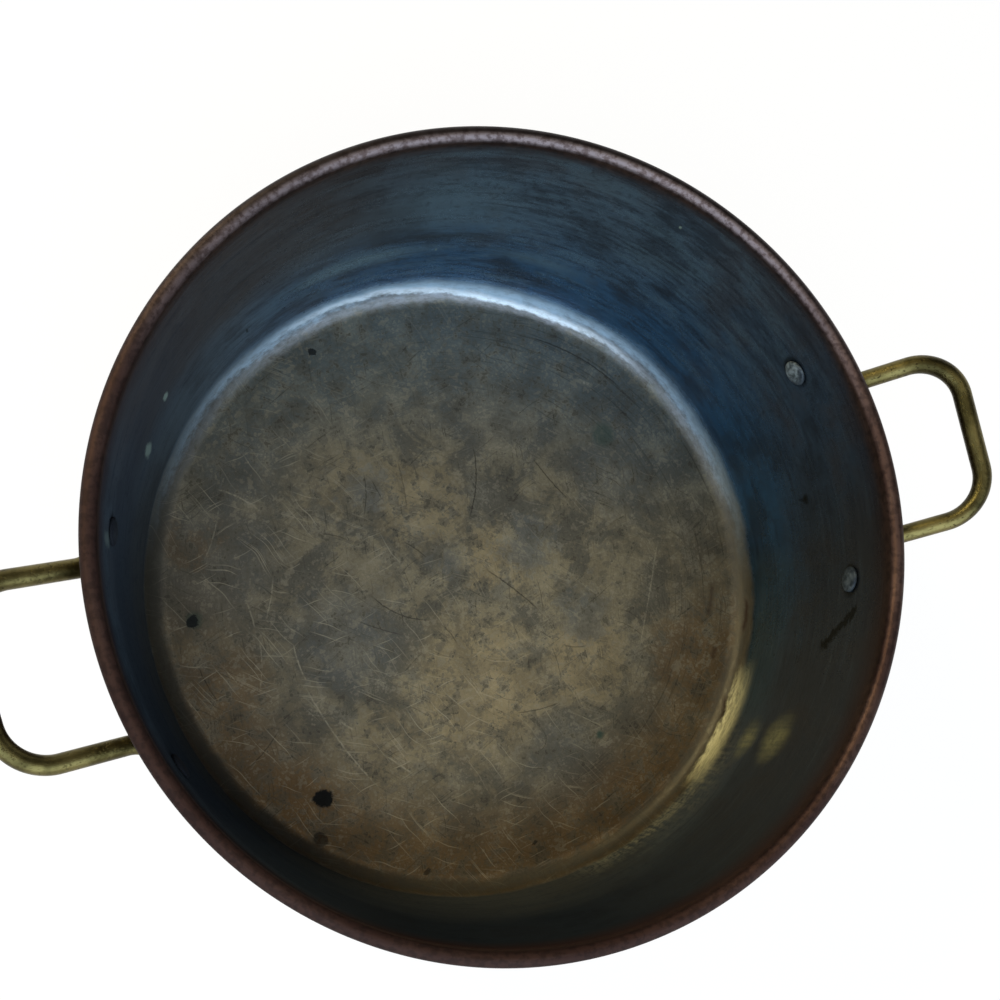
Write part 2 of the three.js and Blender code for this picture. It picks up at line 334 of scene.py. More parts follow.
def handle_corners():
    """Corners of half of the rod's middle line: foot tip, arm's root, outer corner, middle of the grip."""
    seat = wall_outer(RIVET_HEIGHT) + SEAT_GAP + FOOT_THICKNESS / 2
    rivet_way = seat * rivet_angle()
    root_way = seat * math.asin(ARM_SPACING / 2 / seat)
    along = unit(np.array([rivet_way - root_way, RIVET_HEIGHT - ARM_ROOT_HEIGHT]))
    return (
        on_wall(rivet_way + along[0] * FOOT_TAIL, RIVET_HEIGHT + along[1] * FOOT_TAIL),
        on_wall(root_way, ARM_ROOT_HEIGHT),
        np.array([GRIP_REACH, ARM_SPACING / 2, GRIP_HEIGHT]),
        np.array([GRIP_REACH, 0, GRIP_HEIGHT]),
    )


def bend(before, corner, after, radius, steps):
    """An arc tangent to both sides of a corner: the turn from its start to its end about the arc's centre.

    With h the half turn and s from -1 to 1, a point is
    centre + (start sin(h (1 - s)) + end sin(h (1 + s))) / sin(2 h).
    """
    back, on = unit(before - corner), unit(after - corner)
    half_turn = (math.pi - math.acos(np.dot(back, on))) / 2
    centre = corner + unit(back + on) * radius / math.cos(half_turn)
    start = corner + back * radius * math.tan(half_turn) - centre
    end = corner + on * radius * math.tan(half_turn) - centre
    share = np.linspace(-1, 1, steps + 1)[:, None]
    arm = start * np.sin(half_turn * (1 - share)) + end * np.sin(half_turn * (1 + share))
    return centre + arm / math.sin(2 * half_turn)


def smooth_share(value, low, high):
    """The smoothstep 3t^2 - 2t^3 of a value between two limits."""
    share = np.clip((value - low) / (high - low), 0, 1)
    return share * share * (3 - 2 * share)


def half_line():
    """The rod's middle line from the foot's tip to the middle of the grip, closely spaced at the tip."""
    tip, root, outer, middle = handle_corners()
    foot_bend = bend(tip, root, outer, FOOT_BEND, 20)
    grip_bend = bend(root, outer, middle, OUTER_BEND, 26)
    quarter = np.linspace(0, math.pi / 2, 15)[:, None]
    along = unit(root - tip)
    round_tip = tip + along * (FOOT_WIDTH / 2) * (1 - np.cos(quarter))
    return chain(
        round_tip,
        line(round_tip[-1], foot_bend[0], 12),
        foot_bend,
        line(foot_bend[-1], grip_bend[0], 26),
        grip_bend,
        line(grip_bend[-1], middle, 16),
    )


def signed_power(values, power):
    """The power of a value's size, with the value's sign."""
    return np.sign(values) * np.abs(values) ** power


def pushed_out(points, least):
    """Points moved straight out from the pan's axis until they are at least that far from it."""
    radius = np.hypot(points[..., 0], points[..., 1])
    scale = np.maximum(1, least / radius)
    return points * np.stack([scale, scale, np.ones_like(scale)], -1)


def half_rings(sides):
    """Rings of half a handle: centre + w cos(a)^p across + t sin(a)^p out, from a flat foot to a round rod.

    Width w, thickness t and power p run smoothly from the foot's to the rod's. The foot is pushed out to the
    wall, and the ring's own directions turn from the wall's to the loop's along the arm.
    """
    tip, root, outer, middle = handle_corners()
    points = half_line()
    way = distances(points)
    foot_length = np.linalg.norm(root - tip)
    foot_end = FOOT_TAIL + OUTER_HEAD[0]
    rod_start = foot_length + 2 * ROD_RADIUS
    grip_start = foot_length + np.linalg.norm(outer - root) - OUTER_BEND
    share = smooth_share(way, foot_end, rod_start)
    tip_share = np.minimum(1, way / (FOOT_WIDTH / 2))
    wide = (FOOT_WIDTH / 2 + share * (ROD_RADIUS - FOOT_WIDTH / 2)) * np.sqrt(1 - (1 - tip_share) ** 2)
    thick = FOOT_THICKNESS / 2 + share * (ROD_RADIUS - FOOT_THICKNESS / 2)
    power = (FOOT_SQUARENESS + share * (1 - FOOT_SQUARENESS))[:, None]
    foot_across = unit(np.cross(root * np.array([1, 1, 0]), root - tip))
    loop_across = unit(np.cross(outer - root, middle - outer))
    loop_across = loop_across * np.sign(np.dot(foot_across, loop_across))
    along = unit(np.gradient(points, axis=0))
    along[-1] = (0, -1, 0)
    turn = smooth_share(way, rod_start, grip_start)[:, None]
    across = foot_across * (1 - turn) + loop_across * turn
    across = unit(across - along * (across * along).sum(1, keepdims=True))
    out = np.cross(along, across)
    seat = wall_outer(points[:, 2]) + SEAT_GAP
    centre = pushed_out(points, seat + thick)
    angle = np.linspace(0, 2 * math.pi, sides, endpoint=False)
    reach_wide = wide[:, None] * signed_power(np.cos(angle), power)
    reach_thick = thick[:, None] * signed_power(np.sin(angle), power)
    ring = centre[:, None] + across[:, None] * reach_wide[..., None] + out[:, None] * reach_thick[..., None]
    return pushed_out(ring, wall_outer(ring[..., 2]) + SEAT_GAP)


def handle(name, angle):
    """The whole loop: half a handle and its mirror image across its middle plane, turned to its side."""
    half = half_rings(ROUND_SIDES)
    mirrored = half[-2::-1] * np.array([1, -1, 1])
    piece = closed_skin(name, turn_about_axis(np.concatenate([half, mirrored]), angle))
    right = abs(angle) < 1
    cut_holes(piece, [turn for rivet_name, turn in RIVET_TURNS.items() if ("right" in rivet_name) == right])
    return piece


class Signal:
    """A node's output. Python's operators on it add Math nodes to the same material."""

    def __init__(self, finish, output):
        self.finish = finish
        self.output = output

    def maths(self, operation, first, second=0.0):
        """A Math node's result for one or two values."""
        return self.finish.node("ShaderNodeMath", {"operation": operation}, {0: first, 1: second})

    def __add__(self, other):
        return self.maths("ADD", self, other)

    def __radd__(self, other):
        return self.maths("ADD", other, self)

    def __sub__(self, other):
        return self.maths("SUBTRACT", self, other)

    def __rsub__(self, other):
        return self.maths("SUBTRACT", other, self)

    def __mul__(self, other):
        return self.maths("MULTIPLY", self, other)

    def __rmul__(self, other):
        return self.maths("MULTIPLY", other, self)

    def __truediv__(self, other):
        return self.maths("DIVIDE", self, other)

    def __rtruediv__(self, other):
        return self.maths("DIVIDE", other, self)

    def __abs__(self):
        return self.maths("ABSOLUTE", self)

    def least(self, other):
        """The lower of two values."""
        return self.maths("MINIMUM", self, other)

    def most(self, other):
        """The higher of two values."""
        return self.maths("MAXIMUM", self, other)


class Finish:
    """The nodes of a material or of the world: one method adds any node, the others are short forms of it."""

    def __init__(self, holder):
        self.holder = holder
        self.holder.use_nodes = True
        self.tree = holder.node_tree
        self.tree.nodes.clear()

    def node(self, kind, settings=None, sockets=None, out=0):
        """Adds a node: its settings first, then the values or links of its sockets. Gives one output."""
        made = self.tree.nodes.new(kind)
        for name, value in (settings or {}).items():
            setattr(made, name, value)
        for key, value in (sockets or {}).items():
            if isinstance(value, Signal):
                self.tree.links.new(value.output, made.inputs[key])
            else:
                made.inputs[key].default_value = value
        return Signal(self, made.outputs[out]) if made.outputs else made

    def other(self, signal, out):
        """Another output of the node that a signal comes from."""
        return Signal(self, signal.output.node.outputs[out])

    def place(self):
        """The point of the surface, in the object's own metres."""
        return self.node("ShaderNodeTexCoord", out="Object")

    def attribute(self, name):
        """A value that the mesh carries."""
        return self.node("ShaderNodeAttribute", {"attribute_name": name}, out="Fac")

    def parts(self, vector):
        """The three numbers of a vector or a colour."""
        first = self.node("ShaderNodeSeparateXYZ", sockets={0: vector})
        return first, self.other(first, 1), self.other(first, 2)

    def vector(self, x, y, z):
        """A vector from three numbers."""
        return self.node("ShaderNodeCombineXYZ", sockets={0: x, 1: y, 2: z})

    def vectors(self, operation, first, second, out=0):
        """A Vector Math node's result for two vectors."""
        return self.node("ShaderNodeVectorMath", {"operation": operation}, {0: first, 1: second}, out)

    def distance(self, first, second):
        """How far a vector is from a fixed place."""
        return self.vectors("DISTANCE", first, tuple(second), "Value")

    def noise(self, place, scale, detail=3.0, rough=0.5, bent=0.0, out="Fac"):
        """Cloudy noise from 0 to 1, mostly near 0.5; scale counts its lumps in a unit of length."""
        values = {"Vector": place, "Scale": scale, "Detail": detail, "Roughness": rough, "Distortion": bent}
        return self.node("ShaderNodeTexNoise", sockets=values, out=out)

    def smooth(self, value, low, high, start=0.0, end=1.0):
        """From start to end on a smooth curve as the value goes from low to high.

        The curve keeps to its ends by itself. The node's own clamp would only use up the renderer's room for
        values, and past that room the pan turns black.
        """
        settings = {"interpolation_type": "SMOOTHSTEP", "clamp": False}
        return self.node("ShaderNodeMapRange", settings, {0: value, 1: low, 2: high, 3: start, 4: end})

    def mix(self, share, first, second):
        """A colour between two, by a share."""
        return self.node("ShaderNodeMix", {"data_type": "RGBA"}, {0: share, 6: first, 7: second}, 2)

    def bump(self, height, distance, before=None):
        """Normals tilted by the slope of a height, on top of those of another bump if that is given."""
        sockets = {"Distance": distance, "Height": height}
        if before is not None:
            sockets["Normal"] = before
        return self.node("ShaderNodeBump", sockets=sockets)

    def surface(self, sockets, other_sockets=None, other_share=0.0):
        """The material's shader, blended with a second one by a share if that is given."""
        shader = self.node("ShaderNodeBsdfPrincipled", sockets=sockets)
        if other_sockets:
            other = self.node("ShaderNodeBsdfPrincipled", sockets=other_sockets)
            shader = self.node("ShaderNodeMixShader", sockets={0: other_share, 1: shader, 2: other})
        self.node("ShaderNodeOutputMaterial", sockets={"Surface": shader})
        return self.holder


def side(x, y, degrees):
    """How far a place lies towards a direction: x cos a + y sin a."""
    turn = math.radians(degrees)
    return x * math.cos(turn) + y * math.sin(turn)


def towards(finish, x, y, part, start=0.0, end=1.0):
    """From start to end as a direction round the pan, (x, y) of length one, comes into a part of it."""
    degrees, low, high = part
    return finish.smooth(side(x, y, degrees), low, high, start, end)


def drawn_out(finish, x, y, along, grain):
    """Noise drawn out round the pan, by the direction (x, y) and a radius, height or way."""
    around, across, detail, rough = grain
    return finish.noise(finish.vector(x * around, y * around, along * across), 1.0, detail, rough)


def srgb(red, green, blue):
    """A colour given as 0 to 255 on the screen, as the linear colour that a shader takes."""
    share = np.array([red, green, blue]) / 255
    linear = np.where(share <= 0.04045, share / 12.92, ((share + 0.055) / 1.055) ** 2.4)
    return (*linear.tolist(), 1.0)


def sight_through(pixel):
    """The direction in which the eye sees a pixel of the photograph."""
    down = SIGHT.cross(IMAGE_RIGHT)
    across_share = (pixel[0] - AXIS_PIXEL[0]) / FOCUS_PIXELS
    down_share = (pixel[1] - AXIS_PIXEL[1]) / FOCUS_PIXELS
    return SIGHT + IMAGE_RIGHT * across_share + down * down_share


def floor_place(pixel):
    """The place on the pan's floor that a pixel shows: the eye's ray cut by the floor's plane."""
    ray = sight_through(pixel)
    return EYE + ray * ((FLOOR - EYE.z) / ray.z)


def wall_place(azimuth, height):
    """The place on the wall's inner face at a direction in degrees and a height in millimetres."""
    turn = math.radians(azimuth)
    radius = wall_inner(height * MM)
    return Vector((radius * math.cos(turn), radius * math.sin(turn), height * MM))


# Directions round the pan, in degrees
PHOTO_UP = 74
PHOTO_LEFT = 164
BLUEST = 45
LAMP_SHINE = -43
MOST_SCRATCHED = 209

# Parts of the pan's round: a direction in degrees, and the cosines at which the part begins and is full
# The side away from the window, which is given painted shade.
SHADE_SIDE = (-140, -0.7, 0.7)
PALE_SHADE_SIDE = (180, 0.45, 0.9)
BLUE_SIDE = (BLUEST, 0.1, 0.8)
RIGHT_SIDE = (-16, 0.3, 0.95)
TOP_SIDE = (PHOTO_UP, 0.35, 0.9)
BROWN_SIDE = (125, 0.7, 1.0)
UMBER_SIDE = (LAMP_SHINE, 0.6, 0.95)
TEAL_SIDE = (-25, 0.94, 0.99)
BEIGE_SIDE = (-62, 0.9, 0.99)
RING_BRIGHT_SIDE = (50, 0.2, 0.95)
RING_INNER_SIDE = (BLUEST, 0.6, 1.0)
RING_LAMP_SIDE = (LAMP_SHINE, 0.965, 1.0)

# Grain drawn out round the pan: its lumps round and across the pan, its detail and its roughness
LATHE_GRAIN = (5.0, 520, 3, 0.65)
BROAD_GRAIN = (1.6, 60, 2, 0.5)
BRUSHED_GRAIN = (28, 620, 6, 0.78)
WALL_GRAIN = (5, 150, 6, 0.72)
STREAK_GRAIN = (60, 40, 3, 0.7)
FLOOR_GRAIN = (4, 900, 2, 0.6)

# Round marks on the floor: pixel in the photograph, radius in millimetres, depth of colour
BURNT_SPOTS = (
    ((323, 799), 3.9, 1.0),
    ((193, 622), 2.4, 0.9),
    ((319, 838), 3.6, 0.6),
    ((313, 352), 1.3, 0.95),
    ((428, 872), 1.8, 0.7),
    ((535, 842), 1.3, 0.8),
    ((614, 841), 1.2, 0.9),
)
GREEN_SPOTS = (
    ((194, 621), 3.8, 0.5),
    ((600, 734), 2.6, 0.8),
    ((603, 434), 6.0, 0.5),
)
BROWN_CLOUDS = (
    ((296, 806), 17.0, 0.8),
    ((235, 690), 15.0, 0.35),
    ((188, 545), 10.0, 0.4),
    ((690, 650), 20.0, 0.5),
    ((650, 800), 22.0, 0.5),
)
TAN_CLOUDS = (
    ((420, 500), 22.0, 0.5),
    ((495, 560), 16.0, 0.55),
    ((480, 690), 34.0, 0.5),
    ((590, 660), 22.0, 0.5),
    ((380, 780), 30.0, 0.4),
    ((330, 470), 20.0, 0.4),
    ((400, 830), 22.0, 0.4),
)
GREY_CLOUDS = (
    ((345, 640), 24.0, 0.6),
    ((528, 543), 12.0, 0.75),
    ((450, 562), 8.0, 0.55),
    ((582, 612), 12.0, 0.65),
    ((570, 765), 24.0, 0.65),
    ((500, 370), 40.0, 0.4),
    ((620, 470), 22.0, 0.6),
    ((366, 493), 9.0, 0.65),
    ((205, 560), 30.0, 0.7),
    ((230, 470), 20.0, 0.5),
)

# Lines on the floor: three pixels in the photograph along each, half width in millimetres, depth of colour
DARK_LINES = (
    ((472, 442), (476, 471), (468, 522), 0.5, 0.75),
    ((532, 457), (549, 479), (568, 499), 0.55, 0.7),
    ((404, 542), (416, 549), (427, 558), 0.5, 0.6),
    ((484, 568), (506, 583), (540, 611), 0.55, 0.7),
    ((370, 594), (392, 611), (430, 620), 0.55, 0.7),
    ((562, 644), (574, 647), (587, 645), 0.5, 0.55),
    ((279, 730), (264, 752), (246, 770), 0.55, 0.6),
    ((198, 665), (207, 685), (220, 704), 0.5, 0.6),
    ((520, 335), (562, 349), (625, 393), 0.6, 0.75),
    ((322, 534), (336, 536), (349, 541), 0.45, 0.5),
    ((355, 620), (380, 629), (403, 635), 0.4, 0.6),
    ((442, 625), (451, 634), (457, 644), 0.45, 0.6),
    ((364, 474), (366, 495), (364, 516), 0.5, 0.6),
    ((372, 480), (377, 490), (382, 499), 0.4, 0.6),
    ((397, 459), (403, 484), (407, 510), 0.4, 0.45),
    ((536, 577), (541, 595), (543, 613), 0.4, 0.5),
    ((552, 646), (557, 661), (561, 678), 0.4, 0.45),
    ((516, 713), (540, 709), (561, 702), 0.5, 0.6),
    ((540, 728), (546, 741), (537, 752), 0.4, 0.6),
)
LIGHT_LINES = (
    ((304, 684), (343, 746), (382, 791), 0.6, 0.6),
    ((293, 642), (298, 662), (307, 682), 0.6, 0.65),
    ((242, 682), (258, 689), (273, 698), 0.55, 0.5),
    ((340, 721), (347, 726), (354, 730), 0.7, 0.6),
    ((382, 753), (398, 764), (413, 774), 0.6, 0.6),
    ((273, 575), (271, 598), (265, 623), 0.55, 0.5),
    ((216, 489), (238, 497), (261, 512), 0.6, 0.6),
    ((577, 380), (585, 383), (593, 387), 1.7, 0.85),
    ((658, 538), (650, 590), (638, 656), 0.6, 0.45),
    ((219, 507), (214, 534), (204, 561), 0.5, 0.4),
    ((246, 601), (251, 614), (255, 628), 0.6, 0.5),
    ((231, 659), (265, 656), (300, 658), 0.45, 0.4),
    ((260, 643), (262, 667), (260, 691), 0.5, 0.45),
    ((510, 553), (511, 566), (510, 580), 1.0, 0.35),
    ((564, 710), (585, 718), (605, 728), 0.5, 0.5),
)
BURNT_STREAKS = (
    ((724, 694), (719, 720), (708, 743), 2.0, 1.0),
    ((743, 594), (743, 616), (739, 637), 1.8, 0.95),
    ((712, 582), (711, 600), (708, 618), 2.6, 0.65),
    ((715, 645), (714, 652), (711, 660), 2.6, 0.75),
    ((676, 791), (669, 802), (658, 812), 2.0, 0.75),
)

# Marks on the wall: direction in degrees and height in millimetres, half width, half height, depth of colour
WALL_STAINS = (
    (-2, 72, 2.4, 2.2, 0.8),
    (-27.8, 85, 2.8, 3.8, 0.9),
    (118, 36, 0.5, 2.2, 0.8),
)
WALL_DRIPS = (
    ((-23.0, 105), (-27.6, 86), 2.1, 0.9),
    ((-2, 72), (-1.6, 66), 0.7, 0.6),
)
WALL_FLECKS = (
    (146, 58, 3.0, 6.0, 0.5),
    (138, 69, 1.8, 3.2, 0.55),
    (164, 109, 2.6, 6.0, 0.2),
    (82, 44, 0.4, 1.2, 0.9),
    (47, 113, 0.6, 1.0, 0.9),
)
# Painted reflection of the corner's highlight low on the wall, and painted sheen higher up on the side that
# faces the window.
PALE_REFLECTION_BANDS = (
    (96, 45, 32.0, 6.0, 1.0),
    (64, 44, 22.0, 5.0, 0.6),
    (86, 82, 34.0, 24.0, 0.5),
    (104, 74, 20.0, 16.0, 0.3),
)
DARK_BANDS = (
    (84, 56, 36.0, 5.0, 0.3),
    (58, 36, 12.0, 1.4, 0.5),
)
# Painted reflections of the warm lamp on the wall.
LAMP_REFLECTION_SPOTS = (
    (-45, 69, 10.0, 10.0, 0.55),
    (-45, 42, 9.0, 8.0, 0.55),
)


# Where the edge of a spot begins and ends, as shares of its radius
SOFT_EDGE = (0.5, 1.3)
SHARP_EDGE = (0.75, 1.1)


def round_mark(finish, place, mark, ragged, edge=SOFT_EDGE):
    """A spot: its depth at the middle, falling to 0 over its edge, which is ragged."""
    pixel, radius, depth = mark
    gap = finish.distance(place, floor_place(pixel)) + ragged
    return finish.smooth(gap, edge[0] * radius * MM, edge[1] * radius * MM, depth, 0.0)


def blot(finish, place, mark, ragged):
    """A dark spot with a sharp, ragged edge."""
    return round_mark(finish, place, mark, ragged, SHARP_EDGE)


def circle_through(start, middle, end):
    """Centre and radius of the circle through three points of the floor.

    With b and c the sides from the start, the centre is the start plus (|b|^2 c - |c|^2 b), turned by
    90 degrees and divided by 2 b x c.
    """
    b, c = middle - start, end - start
    area = 2 * (b.x * c.y - b.y * c.x)
    lean = b.length_squared * c - c.length_squared * b
    centre = start + Vector((lean.y, -lean.x, 0)) / area
    return centre, (centre - start).length


def line_mark(finish, place, mark, ragged):
    """A stroke on the circle through three pixels' places, which fades at its sides and towards its ends."""
    start, middle, end = (floor_place(pixel) for pixel in mark[:3])
    half_width, depth = mark[3:]
    centre, radius = circle_through(start, middle, end)
    half_length = (end - start).length / 2
    aside = abs(finish.distance(place, centre) - radius + ragged)
    along = finish.distance(place, (start + end) / 2)
    sides = finish.smooth(aside, 0.0, half_width * MM, depth, 0.0)
    return sides * finish.smooth(along, 0.65 * half_length, 1.05 * half_length, 1.0, 0.0)


def wall_gap(finish, place, mark):
    """How far a place is from the middle of a mark on the wall, in the mark's own half sizes."""
    azimuth, height, half_width, half_height, _ = mark
    offset = finish.vectors("SUBTRACT", place, tuple(wall_place(azimuth, height)))
    offset = finish.vectors("DIVIDE", offset, (half_width * MM, half_width * MM, half_height * MM))
    return finish.vectors("LENGTH", offset, (0, 0, 0), "Value")


def wall_mark(finish, place, mark, ragged):
    """A spot with a ragged edge on the wall."""
    return finish.smooth(wall_gap(finish, place, mark) + ragged, *SOFT_EDGE, mark[4], 0.0)


def wall_glow(finish, place, mark, ragged):
    """A soft spot on the wall, strongest at its middle."""
    return finish.smooth(wall_gap(finish, place, mark) + ragged, 0.0, 1.5, mark[4], 0.0)


def wall_streak(finish, place, streak, ragged):
    """A ragged stroke between two places on the wall.

    With u the stroke's direction, its nearest point to p is a + u * ((p - a) . u), held between its ends.
    """
    start, end = (wall_place(*spot) for spot in streak[:2])
    half_width, depth = streak[2:]
    length = (end - start).length
    direction = tuple((end - start) / length)
    offset = finish.vectors("SUBTRACT", place, tuple(start))
    along = finish.vectors("DOT_PRODUCT", offset, direction, "Value").most(0.0).least(length)
    nearest = finish.node("ShaderNodeVectorMath", {"operation": "SCALE"}, {0: direction, "Scale": along})
    gap = finish.vectors("DISTANCE", offset, nearest, "Value")
    return finish.smooth(gap / (half_width * MM) + ragged, *SOFT_EDGE, depth, 0.0)


def marks(finish, place, kind, each, ragged):
    """The highest of the masks of several marks, each joined to the others as soon as it is made."""
    total = kind(finish, place, each[0], ragged)
    for mark in each[1:]:
        total = total.most(kind(finish, place, mark, ragged))
    return total


# Layers of fine scratches: direction in degrees, length and width in millimetres, share of cells with one
DARK_SCRATCHES = (
    (24, 13, 0.4, 0.12),
    (85, 7, 0.4, 0.14),
    (140, 17, 0.35, 0.12),
)
LIGHT_SCRATCHES = (
    (-66, 15, 0.35, 0.12),
    (12, 8, 0.35, 0.08),
    (-30, 11, 0.35, 0.1),
)
SCRATCH_CELLS = 0.42


def scratch_layer(finish, place, layer):
    """Thin strokes at random places: cells stretched along a direction, with a stroke in a share of them."""
    degrees, length, width, share = layer
    turn = {"Vector": place, "Angle": math.radians(-degrees)}
    turned_place = finish.node("ShaderNodeVectorRotate", {"rotation_type": "Z_AXIS"}, turn)
    stretched = finish.vectors("DIVIDE", turned_place, (length * MM, width * MM, 1.0))
    sockets = {"Vector": stretched, "Scale": SCRATCH_CELLS}
    cell = finish.node("ShaderNodeTexVoronoi", {"voronoi_dimensions": "2D"}, sockets)
    chance, strength, _ = finish.parts(finish.other(cell, "Color"))
    there = finish.smooth(chance, 1 - share, 1 - share + 0.02)
    return finish.smooth(cell, 0.05, 0.4, 1.0, 0.0) * there * (0.3 + 0.7 * strength)


def scratches(finish, place, layers):
    """The highest of several layers of scratches."""
    total = scratch_layer(finish, place, layers[0])
    for layer in layers[1:]:
        total = total.most(scratch_layer(finish, place, layer))
    return total


FLOOR_OLIVE = srgb(112, 105, 87)
FLOOR_TAN = srgb(142, 128, 98)
FLOOR_GREY = srgb(86, 89, 88)
FLOOR_DARK = srgb(80, 78, 70)
FLOOR_BROWN = srgb(100, 80, 54)
FLOOR_BLUE = srgb(84, 98, 102)
SCRATCH_DARK = srgb(34, 31, 26)
SCRATCH_LIGHT = srgb(158, 152, 134)
GREEN_STAIN = srgb(36, 60, 54)
SOOT = srgb(10, 14, 16)
BURNT = srgb(36, 22, 12)
WORN_TIN_HIGHLIGHT = srgb(134, 140, 150)
BLUE_HIGHLIGHT = srgb(158, 188, 212)
WALL_BLUE = srgb(52, 98, 138)
WALL_SLATE = srgb(90, 108, 122)
WALL_STEEL = srgb(50, 60, 76)
WALL_SHADE = srgb(26, 29, 36)
WALL_SHADE_LEFT = srgb(50, 57, 66)
WALL_LOW_GLOW = srgb(64, 64, 62)
WALL_TEAL = srgb(46, 72, 84)
WALL_UMBER = srgb(44, 45, 48)
WALL_PALE_SHEEN = srgb(110, 138, 154)
WALL_DEEP = srgb(36, 42, 52)
WALL_BROWN = srgb(70, 60, 54)
WALL_BEIGE = srgb(126, 124, 108)
LAMP_REFLECTION_YELLOW = srgb(160, 158, 114)
LAMP_HIGHLIGHT = srgb(206, 200, 158)
FILLET_SHADE = srgb(58, 55, 48)
CORE_HIGHLIGHT = srgb(206, 220, 232)
PALE_GREEN = srgb(150, 170, 160)
COPPER_DARK = srgb(46, 31, 29)
COPPER_BROWN = srgb(80, 61, 54)
COPPER_ROSE = srgb(112, 95, 90)
RIM_GREY = srgb(112, 104, 108)
RIM_BLACK = srgb(26, 20, 20)
RIM_RED = srgb(50, 32, 28)
BRASS_DARK = srgb(66, 60, 34)
BRASS_OLIVE = srgb(108, 99, 62)
BRASS_INNER_SHADE = srgb(46, 42, 24)
BRASS_PIT = srgb(40, 34, 20)
RIVET_GREY = srgb(60, 68, 72)
RIVET_TIN = srgb(136, 148, 156)
RIVET_UMBER = srgb(74, 52, 44)
RIVET_COPPER = srgb(108, 78, 64)
WIRE_GREY = srgb(74, 70, 66)
WIRE_RUST = srgb(92, 56, 34)


def floor_colour(finish, place, x, y, radius, ragged, fine):
    """Olive and tan with grey patches, blue to one edge, brown to the other, and finely speckled."""
    patches = finish.noise(place, 40, 8, 0.7, 0.5)
    colour = finish.mix(finish.smooth(patches, 0.45, 0.55), FLOOR_DARK, FLOOR_OLIVE)
    cloudy = ragged * (70 * MM)
    colour = finish.mix(marks(finish, place, round_mark, TAN_CLOUDS, cloudy), colour, FLOOR_TAN)
    colour = finish.mix(marks(finish, place, round_mark, GREY_CLOUDS, cloudy), colour, FLOOR_GREY)
    top_side = finish.smooth(side(x, y, PHOTO_UP), 0.02, 0.11) * finish.smooth(radius, 0.06, 0.12)
    low_side = finish.smooth(x * -0.15 - y * 0.99, -0.06, 0.1)
    low_side = low_side * finish.smooth(radius + ragged * (20 * MM), 0.09, 0.13)
    to_edge = finish.smooth(radius + ragged * (50 * MM), 0.05, 0.115)
    colour = finish.mix(to_edge * 0.45, colour, FLOOR_DARK)
    colour = finish.mix(top_side * 0.5, colour, FLOOR_BLUE)
    colour = finish.mix(low_side * 0.75, colour, FLOOR_BROWN)
    colour = finish.mix(marks(finish, place, round_mark, BROWN_CLOUDS, cloudy), colour, FLOOR_BROWN)
    flakes = finish.noise(place, 150, 6, 0.75)
    colour = finish.mix(finish.smooth(flakes, 0.5, 0.545) * 0.6, colour, FLOOR_DARK)
    tone = finish.smooth(ragged + (fine - 0.5) * 0.5, -0.3, 0.3, -0.5, 0.35)
    colour = finish.mix(tone.most(0.0), colour, SCRATCH_LIGHT)
    specks = flakes + (fine - 0.5) * 0.5
    colour = finish.mix(finish.smooth(specks, 0.34, 0.46, 0.4, 0.0), colour, SCRATCH_LIGHT)
    colour = finish.mix(finish.smooth(specks, 0.57, 0.66, 0.0, 0.6), colour, SCRATCH_DARK)
    return finish.mix((0.0 - tone).most(0.0), colour, SCRATCH_DARK)


def worn_floor(finish, place, x, y, radius, fine):
    """The floor's colour with its scratches, stains and burns, and how far it is burnt and cut."""
    ragged = finish.noise(place, 75, 6, 0.75) - 0.5
    colour = floor_colour(finish, place, x, y, radius, ragged, fine)
    warp = finish.vectors("MULTIPLY", finish.noise(place, 28, 2, out="Color"), (12 * MM, 12 * MM, 0))
    drift = finish.vectors("ADD", place, warp)
    patchy = finish.smooth(ragged, -0.08, 0.12)
    broken = (fine - 0.5) * (0.6 * MM)
    dark = scratches(finish, drift, DARK_SCRATCHES) * (0.2 + 0.45 * patchy)
    scratched = finish.smooth(side(x, y, MOST_SCRATCHED), -0.04, 0.06, 0.14, 0.5)
    light = scratches(finish, drift, LIGHT_SCRATCHES) * scratched
    dark = dark.most(marks(finish, place, line_mark, DARK_LINES, broken * 1.6))
    worn_through = finish.smooth(ragged + (fine - 0.5), -0.15, 0.1, 0.15, 0.75)
    light = light.most(marks(finish, place, line_mark, LIGHT_LINES, broken * 1.6) * worn_through)
    turned_lines = finish.smooth(drawn_out(finish, x / radius, y / radius, radius, FLOOR_GRAIN), 0.56, 0.7)
    turned_lines = turned_lines * finish.smooth(radius, 0.075, 0.12)
    turned_lines = turned_lines * finish.smooth(x, -0.05, 0.05, 0.2, 1.0)
    colour = finish.mix(dark.most(turned_lines * 0.4), colour, SCRATCH_DARK)
    colour = finish.mix(light, colour, SCRATCH_LIGHT)
    colour = finish.mix(marks(finish, place, round_mark, GREEN_SPOTS, ragged * (6 * MM)), colour, GREEN_STAIN)
    burnt = marks(finish, place, line_mark, BURNT_STREAKS, ragged * (4 * MM))
    colour = finish.mix(burnt, colour, BURNT)
    spots = marks(finish, place, blot, BURNT_SPOTS, ragged * (10 * MM) + broken * 2.5)
    return finish.mix(spots, colour, SOOT), spots.most(burnt)


